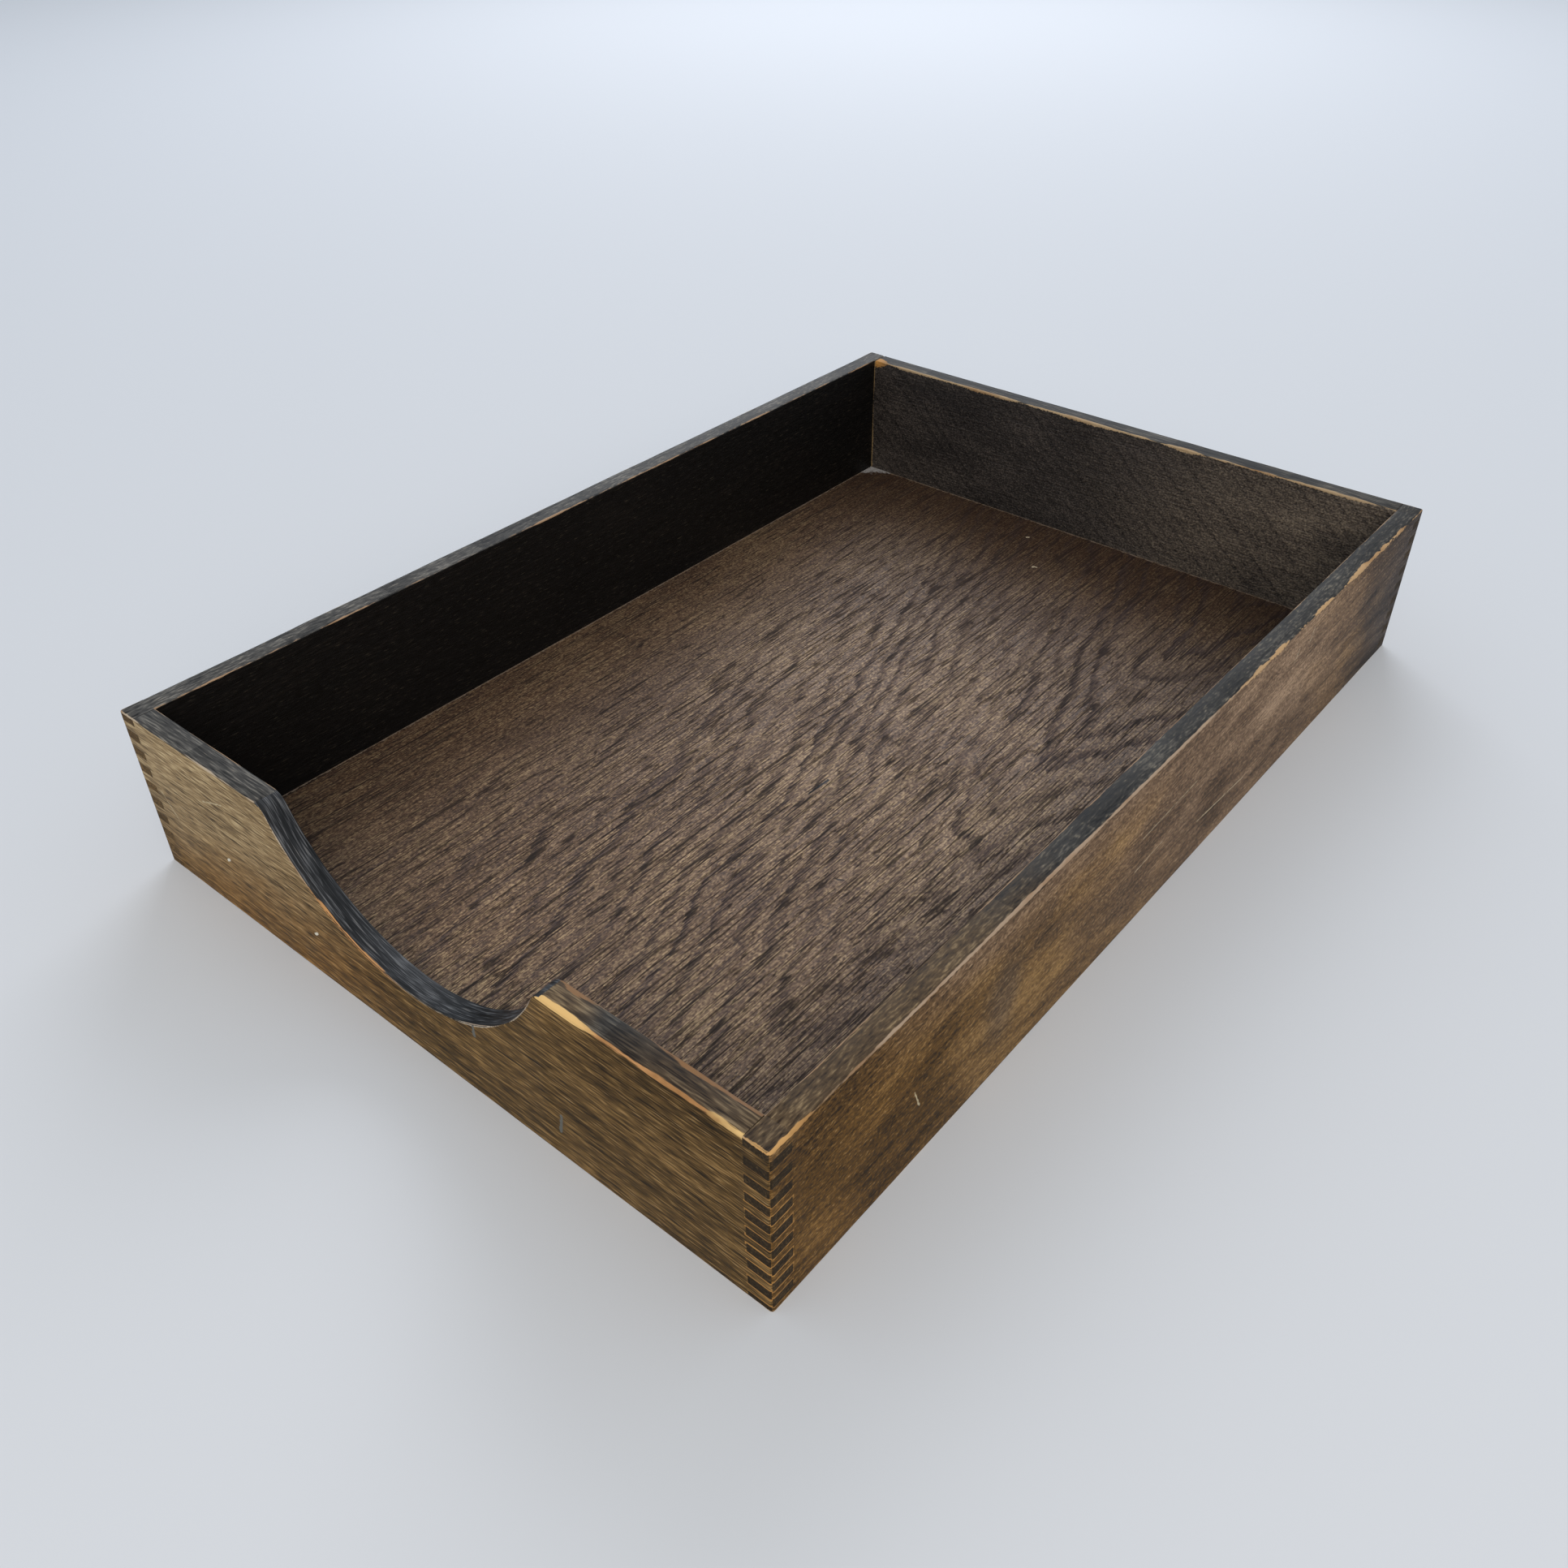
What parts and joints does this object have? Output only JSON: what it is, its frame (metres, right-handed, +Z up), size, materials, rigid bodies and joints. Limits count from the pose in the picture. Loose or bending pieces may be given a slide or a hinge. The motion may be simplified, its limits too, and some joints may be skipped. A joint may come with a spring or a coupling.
{
  "type": "letter tray",
  "caption": "Open wooden desk tray for letters, with comb-jointed corners, a thin floor panel and a curved thumb scoop in the low front board.",
  "frame": {"origin": "on the table under the middle of the tray's outline", "axes": "+X to the right as the scooped front board is faced, +Y from the front board to the back board, +Z up"},
  "size_m": [0.256, 0.377, 0.059],
  "materials": {
    "end_wood": "satin",
    "side_wood": "satin",
    "floor_wood": "satin"
  },
  "bodies": {
    "root": {"front_board": "end_wood", "back_board": "end_wood", "left_side_board": "side_wood", "right_side_board": "side_wood", "floor_panel": "floor_wood"}
  },
  "joints": []
}
